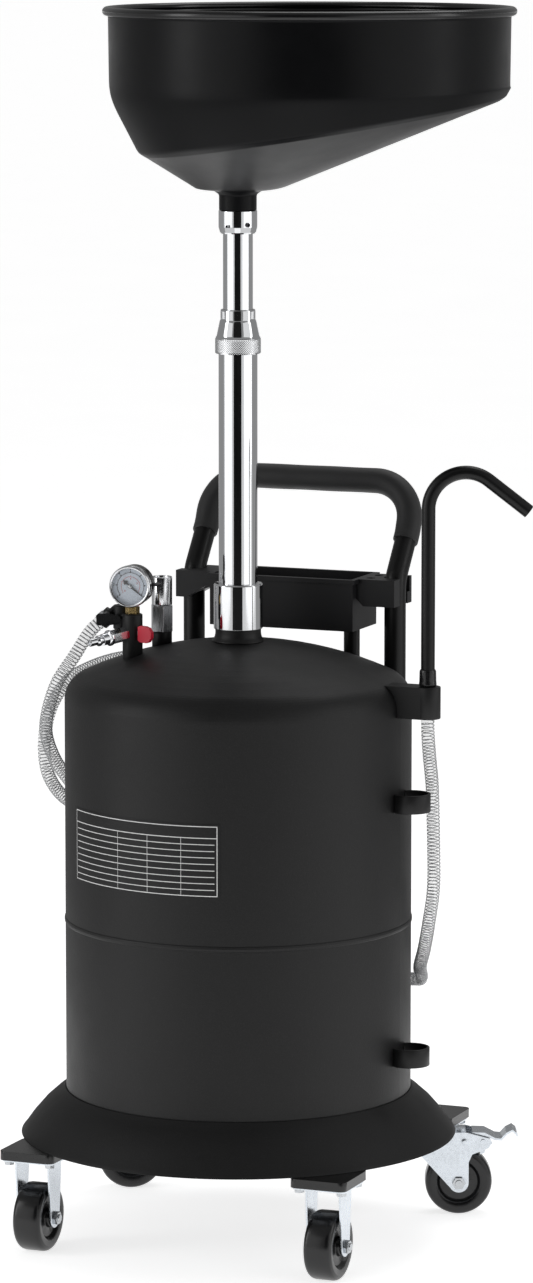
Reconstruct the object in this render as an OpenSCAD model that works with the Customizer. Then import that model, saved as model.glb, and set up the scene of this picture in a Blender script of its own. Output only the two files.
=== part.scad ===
// Mobile waste-oil drainer: steel tank on casters, telescopic mast with funnel
// bowl, push handle with tool tray, air group and discharge hose with wand.
// Origin: on the floor, under the tank axis. +Z up, +Y to the handle side.

/* [Tank] */
// Outer radius of the tank
tank_r = 190; // [188:0.5:191]
// Wall of the tank
tank_t = 2.5; // [2:0.5:3]
// Height of the girth weld
girth_z = 354; // [320:1:400]
// Radius of the skirt at its foot
skirt_r = 240; // [236:1:244]

/* [Mast] */
// Outer radius of the fixed mast tube
mast_r = 21.15; // [20.8:0.05:21.15]
// Outer radius of the sliding mast tube
inner_r = 16.2; // [15.8:0.05:16.2]
// Top of the sliding tube
inner_top = 1121; // [1115:1:1121]

/* [Funnel] */
// Offset of the bowl from the mast axis
bowl_off = 77.3; // [70:0.1:84]
// Radius of the bowl's upright wall
bowl_r = 216.3; // [205:0.1:220]
// Height of the bowl's rim above the floor
rim_z = 1344; // [1325:1:1360]

/* [Casters] */
// Radius of each wheel
wheel_r = 37.5; // [36:0.5:37.5]
// Width of each wheel
wheel_w = 32; // [28:1:32]
// Trail of the swivel casters
trail = 28; // [26:1:28]
// Direction in which the right rear caster trails
right_trail_a = 22; // [-180:1:180]
// Direction in which the left rear caster trails
left_trail_a = -150; // [-180:1:180]

/* [Handle] */
// Outer radius of the handle tube
bar_r = 12; // [11:0.5:12]
// Outer radius of the foam grip
grip_r = 14.3; // [13.5:0.1:16]

/* [Hose] */
// Outer radius of the discharge hose
hose_r = 8; // [7:0.5:8]

/* [Hidden] */
$fn = 64;

view_a = 22;              // plan direction of the bowl's offset and the wand's hook
dome_r = 417;             // radius of the dome's cap
dome_c = 244;             // height of the cap's centre
knuckle = 30;             // radius of the shoulder
plate_x = 170;            // caster plate centres
plate_y = 162;
post_x = 121;             // handle posts
post_y = 164.5;
wand_x = 221;             // wand axis
// Air group, in the frame turned by view_a: [across, away]
man = [-115.2, -7.4];
valve = [-127.8, 9.6];
gauge_z = 722;
gauge_a = -82;            // plan direction the gauge faces
plug_a = -122;            // plan direction of the air plug
air_a = -18;              // plan direction of the air valve's stem
sil = [-93, 6];           // silencer, plan position

// ---------- shared functions ----------
function unit(v) = v / norm(v);
// Points of a rounded corner at p between a and b
function corner(a, p, b, r, n) =
  let (u = unit(a - p), w = unit(b - p), half = acos(u * w) / 2, t = r / tan(half),
       c = p + unit(u + w) * r / sin(half), s = p + u * t, e1 = unit(s - c))
  [for (i = [0:n]) let (q = i / n * (180 - 2 * half)) c + r * (e1 * cos(q) - u * sin(q))];
// Polyline with rounded corners
function rounded(v, r, n) =
  [for (i = [0:len(v) - 1]) each (i == 0 || i == len(v) - 1 ? [v[i]]
    : corner(v[i - 1], v[i], v[i + 1], r[i], n[i]))];
// Smooth curve through the points p, k steps a span
function cr(a, b, c, d, t) = 0.5 * ((2 * b) + (c - a) * t + (2 * a - 5 * b + 4 * c - d) * t * t
  + (3 * b - a - 3 * c + d) * t * t * t);
function smooth(p, k) = let (m = len(p) - 1)
  [for (i = [0:m - 1], j = [0:k - 1])
     cr(i == 0 ? 2 * p[0] - p[1] : p[i - 1], p[i], p[i + 1],
        i == m - 1 ? 2 * p[m] - p[m - 1] : p[i + 2], j / k), p[m]];
function tangents(p) = let (m = len(p) - 1)
  [for (i = [0:m]) unit(i == 0 ? p[1] - p[0] : i == m ? p[m] - p[m - 1]
     : unit(p[i + 1] - p[i]) + unit(p[i] - p[i - 1]))];
function seed(t) = unit(cross(t, abs(t[2]) > 0.9 ? [1, 0, 0] : [0, 0, 1]));
function carry(n, t) = unit(n - (n * t) * t);
function normals(t) = [for (i = 0, n = seed(t[0]); i < len(t);
    i = i + 1, n = i < len(t) ? carry(n, t[i]) : n) n];
function ring(c, n, t, r, s) = let (b = cross(t, n))
  [for (k = [0:s - 1]) c + r * (cos(k * 360 / s) * n + sin(k * 360 / s) * b)];
// Skin between consecutive rings of s points, m rings, first point f
function skin(m, s, f, flip) = [for (i = [0:m - 2], k = [0:s - 1])
    let (a = f + i * s + k, b = f + i * s + (k + 1) % s, c = b + s, d = a + s)
    flip ? [a, b, c, d] : [d, c, b, a]];
// Round tube of radius ro (bore ri, or solid at 0) swept along the points p
module sweep(p, ro, ri, s) {
  t = tangents(p); n = normals(t); m = len(p);
  outer = [for (i = [0:m - 1]) each ring(p[i], n[i], t[i], ro, s)];
  if (ri <= 0)
    polyhedron(points = outer, faces = concat(skin(m, s, 0, false),
      [[for (k = [0:s - 1]) k]], [[for (k = [s - 1:-1:0]) (m - 1) * s + k]]));
  else {
    inner = [for (i = [0:m - 1]) each ring(p[i], n[i], t[i], ri, s)];
    q = m * s;
    polyhedron(points = concat(outer, inner), faces = concat(skin(m, s, 0, false), skin(m, s, q, true),
      [for (k = [0:s - 1]) [k, (k + 1) % s, q + (k + 1) % s, q + k]],
      [for (k = [0:s - 1]) let (e = (m - 1) * s, g = (k + 1) % s) [e + g, e + k, q + e + k, q + e + g]]));
  }
}
// Moves children to the plan point a given in the turned frame, turned with it
module turned(a = [0, 0], z = 0) { rotate([0, 0, view_a]) translate([a[0], a[1], z]) children(); }
module quad() { for (sx = [-1, 1], sy = [-1, 1]) translate([sx * plate_x, sy * plate_y, 0]) children(); }

// ---------- tank ----------
// Half profile of the dome, offset inward by o
function dome(o) = let (kr = tank_r - knuckle, kz = dome_c + (dome_r - knuckle) * cos(asin(kr / (dome_r - knuckle))),
    am = asin(kr / (dome_r - knuckle)))
  concat([for (i = [0:12]) let (q = i / 12 * am) [(dome_r - o) * sin(q), dome_c + (dome_r - o) * cos(q)]],
         [for (i = [1:10]) let (q = am + i / 10 * (90 - am)) [kr + (knuckle - o) * sin(q), kz + (knuckle - o) * cos(q)]]);
module tank_upper_shell() color("#222426") {
  inner = dome(tank_t);
  difference() {
    rotate_extrude($fn = 128) polygon(concat(dome(0), [[tank_r, girth_z], [tank_r - tank_t, girth_z]],
      [for (i = [len(inner) - 1:-1:0]) inner[i]]));
    translate([0, 0, 640]) cylinder(r = 25, h = 40);
    turned(man, 600) cylinder(r = 6.2, h = 80);
    translate([sil[0], sil[1], 600]) cylinder(r = 6.2, h = 80);
  }
}
module tank_lower_shell() color("#222426") {
  k = 26; kr = tank_r - k; kz = 115 + k;
  a = [for (i = [0:8]) let (q = i * 90 / 8) [kr + k * cos(q), kz - k * sin(q)]];
  b = [for (i = [0:8]) let (q = i * 90 / 8) [kr + (k - tank_t) * cos(q), kz - (k - tank_t) * sin(q)]];
  rotate_extrude($fn = 128) polygon(concat([[tank_r - tank_t, girth_z], [tank_r, girth_z]], a,
    [[0, 115], [0, 115 + tank_t]], [for (i = [len(b) - 1:-1:0]) b[i]]));
}
module girth_seam() color("#1d1f21") rotate_extrude($fn = 128)
  polygon([[tank_r, girth_z - 3.2], [tank_r + 0.8, girth_z - 2.2], [tank_r + 1.1, girth_z],
           [tank_r + 0.8, girth_z + 2.2], [tank_r, girth_z + 3.2]]);
module base_skirt() color("#26282a") rotate_extrude($fn = 128)
  polygon([[tank_r, 166], [tank_r + 1.6, 166], [tank_r + 4, 163], [tank_r + 12, 157.6], [tank_r + 25, 146],
    [tank_r + 38, 131], [skirt_r - 3, 118.5], [skirt_r, 115], [skirt_r - 3, 115], [skirt_r - 5, 117.4],
    [tank_r + 37, 129.3], [tank_r + 24, 144.2], [tank_r + 11, 155.6], [tank_r + 3, 161], [tank_r, 161.6]]);
module data_plate() color("#c9cbcc") rotate([0, 0, -135]) translate([0, 0, 409])
  rotate_extrude(angle = 61.3, $fn = 128) translate([tank_r, 0]) square([0.5, 80]);

// ---------- undercarriage ----------
module pad2d(w, l, r) { // rounded rectangle
  for (sx = [-1, 1], sy = [-1, 1]) translate([sx * (w / 2 - r), sy * (l / 2 - r)]) circle(r, $fn = 32);
  square([w, l - 2 * r], center = true); square([w - 2 * r, l], center = true);
}
module base_cross() color("#17181a") difference() {
  translate([0, 0, 105]) linear_extrude(10) union() {
    for (a = [1, -1]) rotate([0, 0, a * atan(plate_y / plate_x)]) square([480, 52], center = true);
    quad() pad2d(64, 70, 8);
  }
  for (a = [45, 135, 225, 315]) rotate([0, 0, a]) translate([70, -20, 104]) cube([85, 40, 8.5]);
  quad() for (bx = [-24, 24], by = [-23, 23]) translate([bx, by, 104]) cylinder(r = 3, h = 8);
}
module caster_plates() color("#b9bec4") quad() translate([0, 0, 102.5]) linear_extrude(2.5) difference() {
  pad2d(61, 60, 5);
  for (bx = [-24, 24], by = [-23, 23]) translate([bx, by]) circle(3.2);
}
module caster_bolts() color("#c4c8cc") quad() for (bx = [-24, 24], by = [-23, 23]) translate([bx, by, 98.5]) {
  cylinder(r = 5.77, h = 4, $fn = 6);
  translate([0, 0, 3.9]) cylinder(r = 2.95, h = 7);
}
// Side plate of a fork, in the plane of the wheel; h is the axle's distance from the pin
module leg2d(h, rear) difference() {
  union() {
    translate([h, wheel_r]) circle(11);
    if (rear) polygon([[-16, 95], [-16, 70], [h - 9.5, wheel_r - 5.6], [h + 11, wheel_r], [h + 11, 61], [h + 15, 70],
      [h + 33, 77], [h + 37.5, 83], [h + 35, 88], [h + 22, 91.5], [h + 8, 95]]);
    else polygon([[-16, 102.5], [-16, 88], [-11, wheel_r], [11, wheel_r], [16, 88], [16, 102.5]]);
  }
  translate([h, wheel_r]) circle(4.02);
  if (rear) translate([h + 27, 85]) circle(2.6);
}
module legs(h, rear) for (s = [-1, 1]) translate([0, s > 0 ? 20.5 : -18, 0]) rotate([90, 0, 0]) linear_extrude(2.5) leg2d(h, rear);
module rivets(h) for (s = [-1, 1]) translate([h + 6, s * 20.5, 84.5]) rotate([s * -90, 0, 0]) { cylinder(r = 3.4, h = 1.2); translate([0, 0, 1.2]) cylinder(r1 = 3.4, r2 = 1.8, h = 1); }
module front_forks() color("#c3c9cf") for (sx = [-1, 1]) translate([sx * plate_x, -plate_y, 0]) rotate([0, 0, -90]) {
  legs(0, false);
  translate([-16, -18, 99.5]) cube([32, 36, 3]);
}
module axle_set(h) translate([h, 0, wheel_r]) rotate([90, 0, 0]) {
  translate([0, 0, -26.5]) cylinder(r = 4, h = 52);
  translate([0, 0, 20.5]) cylinder(r = 7.5, h = 3.5, $fn = 6);
  translate([0, 0, -24.8]) cylinder(r = 7.5, h = 4.3, $fn = 6);
}
module front_axles() color("#aeb4ba") for (sx = [-1, 1]) translate([sx * plate_x, -plate_y, 0]) rotate([0, 0, -90]) axle_set(0);
// Wheel about its own axis, along Z
module wheel() {
  w = wheel_w / 2;
  rotate_extrude($fn = 96) polygon([[4.06, -w - 1], [9, -w - 1], [10, -w], [11, -w + 4], [21, -w + 4.6], [24.5, -w + 1],
    [27, -w + 0.4], [32, -w], [35.2, -w + 1.4], [36.8, -w + 3.6], [wheel_r, -w + 6.5], [wheel_r, w - 6.5],
    [36.8, w - 3.6], [35.2, w - 1.4], [32, w], [27, w - 0.4], [24.5, w - 1], [21, w - 4.6], [11, w - 4], [10, w],
    [9, w + 1], [4.06, w + 1]]);
}
module front_wheel(s) translate([s * plate_x, -plate_y, wheel_r]) rotate([0, 90, 0]) wheel();
module front_wheel_right() color("#1b1b1b") front_wheel(1);
module front_wheel_left() color("#1b1b1b") front_wheel(-1);
// Rear casters: right s = 1, left s = -1
module swivel(s) translate([s * plate_x, plate_y, 0]) rotate([0, 0, s > 0 ? right_trail_a : left_trail_a]) children();
module rear_king_pins() color("#aeb4ba") for (s = [-1, 1]) translate([s * plate_x, plate_y, 0]) {
  translate([0, 0, 98.4]) cylinder(r = 19, h = 4.1);
  translate([0, 0, 86]) cylinder(r = 5, h = 13);
  translate([0, 0, 84]) cylinder(r = 9, h = 4);
}
module rear_fork(s) swivel(s) {
  legs(trail, true);
  rivets(trail);
  difference() {
    union() {
      translate([-16, -18, 92]) cube([trail + 24, 36, 3]);
      translate([0, 0, 94.9]) cylinder(r = 21, h = 3);
    }
    translate([0, 0, 80]) cylinder(r = 5.06, h = 30);
  }
}
module rear_fork_right() color("#c3c9cf") rear_fork(1);
module rear_fork_left() color("#c3c9cf") rear_fork(-1);
module rear_axle_right() color("#aeb4ba") swivel(1) axle_set(trail);
module rear_axle_left() color("#aeb4ba") swivel(-1) axle_set(trail);
module rear_wheel(s) swivel(s) translate([trail, 0, wheel_r]) rotate([90, 0, 0]) wheel();
module rear_wheel_right() color("#1b1b1b") rear_wheel(1);
module rear_wheel_left() color("#1b1b1b") rear_wheel(-1);
module brake_pedal(s) swivel(s) translate([trail + 27, 0, 85]) {
  rotate([90, 0, 0]) translate([0, 0, -22.4]) cylinder(r = 2.5, h = 44.8);
  difference() {
    rotate([90, 0, 0]) linear_extrude(34, center = true) union() {
      polygon([[-12, 9.6], [2, 9.2], [14, 3], [20, 2.4], [26, 9], [33, 12.6], [37.5, 9], [39.5, 5], [38, 4.2], [35.6, 8],
        [32.6, 10], [27, 6.6], [21, 0], [13, 0.4], [1, 6.4], [-12, 7.2]]);
      difference() {
        circle(7.2);
        translate([-8, -8]) square([5, 16]);
      }
      polygon([[-3, -2], [5, -4], [2, -16], [-3, -17.2]]);
    }
    translate([-20, -40, -30]) cube([60, 30, 25]);
    translate([-20, 10, -30]) cube([60, 30, 25]);
  }
}
module brake_pedal_right() color("#c3c9cf") brake_pedal(1);
module brake_pedal_left() color("#c3c9cf") brake_pedal(-1);

// ---------- handle ----------
bar_b = [post_x, post_y, 712];
bar_c = [post_x, 203, 762];
bar_d = [post_x, 225, 816];
function mx(p) = [-p[0], p[1], p[2]];
bar_path = rounded([[post_x, post_y, 420], bar_b, bar_c, bar_d, mx(bar_d), mx(bar_c), mx(bar_b), mx([post_x, post_y, 420])],
  [0, 30, 40, 46, 46, 40, 30, 0], [0, 4, 3, 8, 8, 3, 4, 0]);
grip_a = bar_c - unit(bar_c - bar_b) * 12;
grip_path = rounded([grip_a, bar_c, bar_d, mx(bar_d), mx(bar_c), mx(grip_a)], [0, 40, 46, 46, 40, 0], [0, 3, 8, 8, 3, 0]);
module handle_tube() color("#1c1d1f") sweep(bar_path, bar_r, bar_r - 1.8, 16);
module handle_grip() color("#202123") sweep(grip_path, grip_r, bar_r + 0.02, 16);
module handle_saddles() color("#1c1d1f") for (sx = [-1, 1], z = [436, 572])
  difference() {
    translate([0, 0, z]) rotate([0, 0, 90 - sx * (90 - atan(post_y / post_x))]) translate([tank_r - 8, -14, 0]) cube([14, 28, 26]);
    translate([0, 0, z - 1]) cylinder(r = tank_r, h = 28, $fn = 128);
    translate([sx * post_x, post_y, z - 1]) cylinder(r = bar_r + 0.05, h = 28);
  }

// ---------- tray ----------
module tool_tray() color("#1e1f21") difference() {
  union() {
    translate([-85.6, 125, 658]) cube([171.2, 74, 58]);
    translate([-88.6, 122, 711]) cube([177.2, 80, 5]);
    for (sx = [-1, 1]) rotate([90, 0, 0]) translate([0, 0, -190]) linear_extrude(55)
      polygon(sx > 0 ? [[84, 716], [131, 716], [131, 686], [94, 686], [84, 696]]
        : [[-84, 716], [-131, 716], [-131, 686], [-118, 686], [-96, 699], [-84, 699]]);
  }
  translate([-82.6, 128, 661]) cube([165.2, 68, 60]);
  for (sx = [-1, 1]) {
    // hollow of the wing, open below
    translate([sx > 0 ? 88.6 : -106.6, 138, 670]) cube([18, 49, 43]);
    // slot that clips on the post, open outward; wider above, where the post leans back
    translate([sx * post_x, post_y, 670]) cylinder(r = bar_r + 0.3, h = 60);
    translate([sx > 0 ? post_x : -post_x - 40, post_y - 12.25, 670]) cube([40, 24.5, 60]);
    translate([sx * post_x, post_y + 7, 699]) cylinder(r = bar_r + 0.3, h = 30);
    translate([sx * post_x - 12.25, post_y, 699]) cube([24.5, 7, 30]);
    translate([sx > 0 ? post_x : -post_x - 40, post_y, 699]) cube([40, 19.25, 30]);
  }
  for (y = [150, 176]) translate([97.5, y, 700]) cylinder(r = 5, h = 30);
}

// ---------- mast ----------
module mast_base_ring() color("#1d1e20") rotate_extrude() polygon([[mast_r, 655], [25, 655], [25, 660.3], [28.5, 660.3],
  [28.5, 661.5], [26.4, 664], [25.4, 667], [25, 670], [25, 674], [mast_r, 674]]);
module mast_sleeve() color("#d7dadd") rotate_extrude() polygon([[mast_r, 674], [26.25, 674], [26.75, 674.5], [26.75, 722.5],
  [25.6, 724], [mast_r, 724]]);
module mast_outer_tube() color("#d7dadd") rotate_extrude() polygon([[mast_r - 2, 150], [mast_r, 150], [mast_r, 996], [mast_r - 2, 996]]);
module mast_collet() color("#e8e4da") difference() {
  union() {
    translate([0, 0, 996]) cylinder(r = 19, h = 9.8);
    translate([0, 0, 982]) cylinder(r = mast_r - 2, h = 15);
  }
  translate([0, 0, 980]) cylinder(r = inner_r + 0.1, h = 30);
  for (a = [0, 90]) rotate([0, 0, a]) translate([-30, -0.8, 984]) cube([60, 1.6, 30]);
}
module lock_nut() color("#d7dadd") rotate_extrude() polygon([[mast_r + 0.1, 975], [24.2, 975], [25, 975.8], [25, 991.2], [24.2, 992.5],
  [23.6, 993.6], [20, 1010], [19, 1012], [19, 1022], [18.2, 1023], [inner_r + 0.3, 1023], [inner_r + 0.3, 1006.4],
  [19.3, 1006.4], [19.3, 997.4], [mast_r + 0.1, 996.4]]);
module mast_inner_tube() color("#d7dadd") rotate_extrude() polygon([[inner_r - 2, 460], [inner_r, 460], [inner_r, inner_top], [inner_r - 2, inner_top]]);
module mast_guide_bush() color("#e8e4da") translate([0, 0, 462]) difference() {
  cylinder(r = mast_r - 2.1, h = 26);
  translate([0, 0, -1]) cylinder(r = inner_r, h = 30);
}

// ---------- funnel ----------
module funnel_cup() color("#d7dadd") turned() difference() {
  rotate_extrude() polygon([[inner_r + 0.08, 1105], [18.2, 1105], [19.5, 1106.5], [21, 1112], [21, 1129.4], [20.4, 1130],
    [18.5, 1130], [18.5, 1122.3], [inner_r + 0.08, 1122.3]]);
  rotate([0, 0, -60]) translate([0, 0, 1115]) rotate([0, 90, 0]) cylinder(r = 2.5, h = 30);
  rotate([0, 0, -118]) translate([14, -4, 1112]) cube([10, 8, 3]);
}
module cup_set_screw() color("#202020") turned() rotate([0, 0, -60]) translate([0, 0, 1115]) rotate([0, 90, 0]) difference() {
  translate([0, 0, inner_r + 0.4]) cylinder(r = 2.45, h = 6.2);
  translate([0, 0, inner_r + 4.6]) cylinder(r = 1.4, h = 5, $fn = 6);
}
// Rings of the bowl: [centre across, height, radius, tilt]
bowl_rings = [[0, 1122.4, 18.45, 0], [0, 1130, 18.45, 0], [0, 1130.01, 20.5, 0], [0, 1147, 20.5, 0], [0, 1151, 26, 0], [-1, 1153, 46, 0],
  [92.3, 1218.4, 195, 9.24], [91, 1222.5, 201, 8.8], [bowl_off + 2, 1255, 215.4, 2], [bowl_off, 1263, bowl_r, 0], [bowl_off, rim_z - 4.5, bowl_r + 1, 0],
  [bowl_off, rim_z - 3.6, bowl_r + 5, 0], [bowl_off, rim_z, bowl_r + 7.3, 0], [bowl_off, rim_z + 3.6, bowl_r + 5.6, 0],
  [bowl_off, rim_z + 5, bowl_r + 2.3, 0], [bowl_off, rim_z + 3.6, bowl_r - 1.6, 0], [bowl_off, rim_z, bowl_r - 3.5, 0],
  [bowl_off, 1264, bowl_r - 3.5, 0], [bowl_off + 2, 1258, 211.6, 2], [91.2, 1227, 198, 8.8], [92.3, 1222.6, 192.4, 9.24], [-1, 1157, 44.5, 0],
  [0, 1154.6, 23, 0], [0, 1150, 15.2, 0], [0, 1146, 14.3, 0], [0, 1122.4, 14.3, 0]];
module funnel_bowl() color("#1b1c1e") turned() {
  s = 64; m = len(bowl_rings);
  pts = [for (b = bowl_rings) for (k = [0:s - 1]) let (q = k * 360 / s)
    [b[0] + b[2] * cos(q) * cos(b[3]), b[2] * sin(q), b[1] + b[2] * cos(q) * sin(b[3])]];
  polyhedron(points = pts, faces = [for (i = [0:m - 1], k = [0:s - 1])
    let (a = i * s + k, b = i * s + (k + 1) % s, j = (i + 1) % m, c = j * s + (k + 1) % s, d = j * s + k) [d, c, b, a]]);
}

// ---------- air group ----------
module manifold_post() color("#26272a") difference() {
  turned(man, 636) rotate_extrude() polygon([[0, 0], [11, 0], [11, 54], [10, 55], [0, 55]]);
  translate([0, 0, dome_c]) sphere(dome_r + 0.05, $fn = 128);
  turned(man, 636) cylinder(r = 6.2, h = 40);
  translate([0, 0, 671]) turned(man) rotate([0, 0, plug_a - view_a]) rotate([0, 98, 0]) cylinder(r = 5, h = 30);
}
module dip_tube() color("#c9ccd0") turned(man, 0) rotate_extrude() polygon([[4.8, 132], [6, 132], [6, 668], [4.8, 668]]);
module gauge_adapter() color("#b08a45") turned(man, 691) {
  cylinder(r = 8, h = 8, $fn = 6);
  translate([0, 0, 7.9]) cylinder(r = 5.5, h = 2.6);
}
module at_gauge() turned(man, gauge_z) rotate([0, 0, gauge_a - view_a]) rotate([0, 90, 0]) children();
module gauge_case() color("#18191a") difference() {
  at_gauge() rotate_extrude() polygon([[0, -14], [20, -14], [22, -12], [22, 7], [20, 7], [20, -12], [0, -12]]);
  turned(man, 690) cylinder(r = 5.55, h = 11.6);
}
module gauge_bezel() color("#cfd3d6") at_gauge() rotate_extrude() polygon([[22.02, 4], [23, 4.4], [23, 11.8], [21.6, 13.2], [19.8, 12.6],
  [19.8, 12], [21, 12], [21, 7.02], [22.02, 7.02]]);
module gauge_dial() color("#c6ced8") at_gauge() translate([0, 0, 7.05]) difference() { cylinder(r = 20.9, h = 0.6); translate([0, 0, -1]) cylinder(r = 1.2, h = 3); }
module gauge_lens() color([0.8, 0.85, 0.9, 0.3]) at_gauge() translate([0, 0, 10.6]) cylinder(r = 20.9, h = 1.3);
module gauge_needle() color("#101010") at_gauge() rotate([0, 0, -39]) {
  translate([0, 0, 5]) cylinder(r = 1, h = 3.2);
  translate([0, 0, 8.2]) cylinder(r = 2.2, h = 1.9);
  translate([0, 0, 8.4]) linear_extrude(0.8) polygon([[-1.2, 0], [1.2, 0], [0.35, 16.4], [-0.35, 16.4]]);
  translate([0, 0, 8.4]) linear_extrude(0.8) polygon([[-0.8, 0], [-0.8, -5], [-3, -6], [0, -10.4], [3, -6], [0.8, -5], [0.8, 0]]);
}
// Frame of the air plug: Z along the plug, drooping
module at_plug() turned(man, 671) rotate([0, 0, plug_a - view_a]) rotate([0, 98, 0]) children();
module air_plug() color("#d0d3d6") difference() {
  at_plug() union() {
    translate([0, 0, 9]) cylinder(r = 8, h = 20, $fn = 6);
    translate([0, 0, 28.9]) rotate_extrude() polygon([[0, 0], [8.4, 0], [8.8, 1.2], [8.8, 3.4], [7.4, 4.6], [6.6, 5], [6.4, 12],
      [4.4, 12.4], [4.4, 15], [6, 15.6], [6, 17.4], [4.6, 19], [4, 19.6], [4, 28], [3.4, 29], [0, 29]]);
  }
  at_plug() translate([0, 0, 12]) cylinder(r = 2.6, h = 60);
  turned(man, 640) cylinder(r = 11.02, h = 60);
}
module silencer_base() color("#1c1d1f") difference() {
  translate([sil[0], sil[1], 640]) cylinder(r = 11, h = 25.4);
  translate([0, 0, dome_c]) sphere(dome_r + 0.05, $fn = 128);
}
module silencer_hex() color("#b6b9bc") translate([sil[0], sil[1], 665.4]) cylinder(r = 12.7, h = 29, $fn = 6);
module silencer_body() color("#d0d3d6") translate([sil[0], sil[1], 694.4]) rotate_extrude()
  polygon([[0, 0], [10.8, 0], [11.3, 0.8], [11.3, 30.8], [10.8, 31.6], [9.4, 31.6], [9.4, 12], [0, 12]]);
module at_air() turned(man, 671) rotate([0, 0, air_a - view_a]) rotate([0, 90, 0]) children();
module air_valve_stem() color("#d0d3d6") difference() {
  at_air() { cylinder(r = 4.6, h = 14.8, $fn = 6); cylinder(r = 3, h = 20.2); translate([0, 0, 20.1]) cylinder(r = 4, h = 2.6, $fn = 6); }
  turned(man, 640) cylinder(r = 11.02, h = 60);
}
module air_valve_lever() color("#d4153a") at_air() {
  translate([0, 0, 15.4]) difference() { cylinder(r = 6.6, h = 4.4); translate([0, 0, -1]) cylinder(r = 3.06, h = 7); }
  difference() {
    rotate([90, 0, 0]) translate([0, 0, 4.6]) linear_extrude(4.6) polygon([[-7.5, 15.4], [7, 15.4], [9, 18], [9.4, 27], [8, 31],
      [3, 34.5], [-3, 34.6], [-7.6, 31], [-9, 26], [-9, 18]]);
    translate([0, 0, 15]) cylinder(r = 4.5, h = 20);
  }
}
module hose_valve_body() color("#202123") difference() {
  union() {
    turned(valve, 672) rotate_extrude() polygon([[0, 0], [8, 0], [9, 1], [9, 25.5], [8, 26.5], [0, 26.5]]);
    turned(valve, 686) rotate([0, 90, atan2(man[1] - valve[1], man[0] - valve[0])]) cylinder(r = 6, h = 20);
    turned([valve[0] - 6, valve[1]], 684) rotate([90, 0, 0]) cylinder(r = 2.3, h = 9.6);
  }
  turned(man, 640) cylinder(r = 11.02, h = 60);
}
module hose_valve_lever() color("#1a1b1c") turned([valve[0] - 6, valve[1]], 684) rotate([90, 0, 0]) translate([0, 0, 9.9]) {
  cylinder(r = 5.6, h = 5.4);
  linear_extrude(4.5) polygon([[0, 5.2], [-8, 6.5], [-19, 6.5], [-21, 4.5], [-21, -4.5], [-19, -6.5], [-8, -6.5], [0, -5.2]]);
}

// Frame of the hose barb: Z along the hose's first stretch
barb_u = [-0.74, 0.10, -0.665];
module at_barb() turned(valve, 699) rotate([0, acos(barb_u[2] / norm(barb_u)), atan2(barb_u[1], barb_u[0])]) children();
module hose_barb() color("#141516") difference() {
  at_barb() { cylinder(r = 5, h = 15); translate([0, 0, 14]) cylinder(r = 8.3, h = 5.3); }
  turned(valve, 660) cylinder(r = 9.02, h = 60);
}
module hose_clamp() color("#c4c8cc") at_barb() difference() {
  union() {
    translate([0, 0, 21]) cylinder(r = 9.2, h = 9);
    translate([-4, -13, 21.5]) cube([8, 6, 8]);
  }
  translate([0, 0, 10]) cylinder(r = hose_r + 0.05, h = 30);
}

// ---------- discharge hose ----------
function plan(p, z) = [p[0] * cos(view_a) - p[1] * sin(view_a), p[0] * sin(view_a) + p[1] * cos(view_a), z];
barb_dir = let (u = unit(barb_u)) plan(u, u[2]);
hose_start = plan(valve, 699) + 20 * barb_dir;
route = [hose_start, [-155, -48, 669], [-173, -53, 640], [-192, -54, 612], [-206, -47, 582], [-216, -33, 552],
  [-217, -12, 522], [-213, 14, 495], [-201, 51, 458], [-184, 90, 424], [-165, 128, 392], [-148, 167, 362],
  [-118, 198, 336], [-68, 212, 317], [-10, 214, 310], [48, 213, 322], [90, 211, 356], [110, 211, 408],
  [114, 211, 465], [103, 211, 522], [72, 211, 576], [25, 211, 607], [-30, 211, 614], [-85, 209, 613],
  [-132, 198, 613], [-168, 163, 614], [-193, 115, 615], [-210, 70, 609], [-220, 34, 598], [-228, 8, 572],
  [-232, -2, 536], [-233, 8, 500], [-229, 34, 471], [-219, 74, 447], [-205, 114, 421], [-182, 160, 392], [-152, 202, 350],
  [-108, 227, 308], [-58, 233, 274], [0, 233, 256.6], [52, 231, 252], [102, 219, 252], [138, 192, 258],
  [156, 158, 268], [168, 122, 288], [184, 92, 314], [198, 68, 348], [209, 53, 392], [212.5, 43, 445],
  [214, 36, 488], [216, 28, 512], [218.5, 14, 540], [220.5, 3, 566], [221, 0, 586.8]];
module discharge_hose() color("#c8ccd0") sweep(route, hose_r, 0, 10);
module hose_hooks() color("#1c1d1f") {
  difference() {
    union() {
      translate([-12, 180, 566]) cube([24, 13, 32]);
      translate([-12, 186, 595.2]) cube([24, 37, 2.8]);
      translate([-12, 220.2, 595.2]) cube([24, 2.8, 16]);
    }
    translate([0, 0, 500]) cylinder(r = tank_r, h = 200, $fn = 128);
    translate([-20, 193.2, 560]) cube([40, 60, 35.2]);
  }
  difference() {
    union() {
      translate([-12, 180, 218]) cube([24, 13, 29]);
      translate([-12, 186, 244]) cube([24, 59.4, 2.8]);
      translate([-12, 242.6, 244]) cube([24, 2.8, 16]);
    }
    translate([0, 0, 200]) cylinder(r = tank_r, h = 100, $fn = 128);
  }
}
module tray_support() color("#1c1d1f") difference() {
  translate([62, 184, 556]) cylinder(r = 9, h = 102);
  translate([0, 0, 500]) cylinder(r = tank_r, h = 112, $fn = 128);
}

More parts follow.
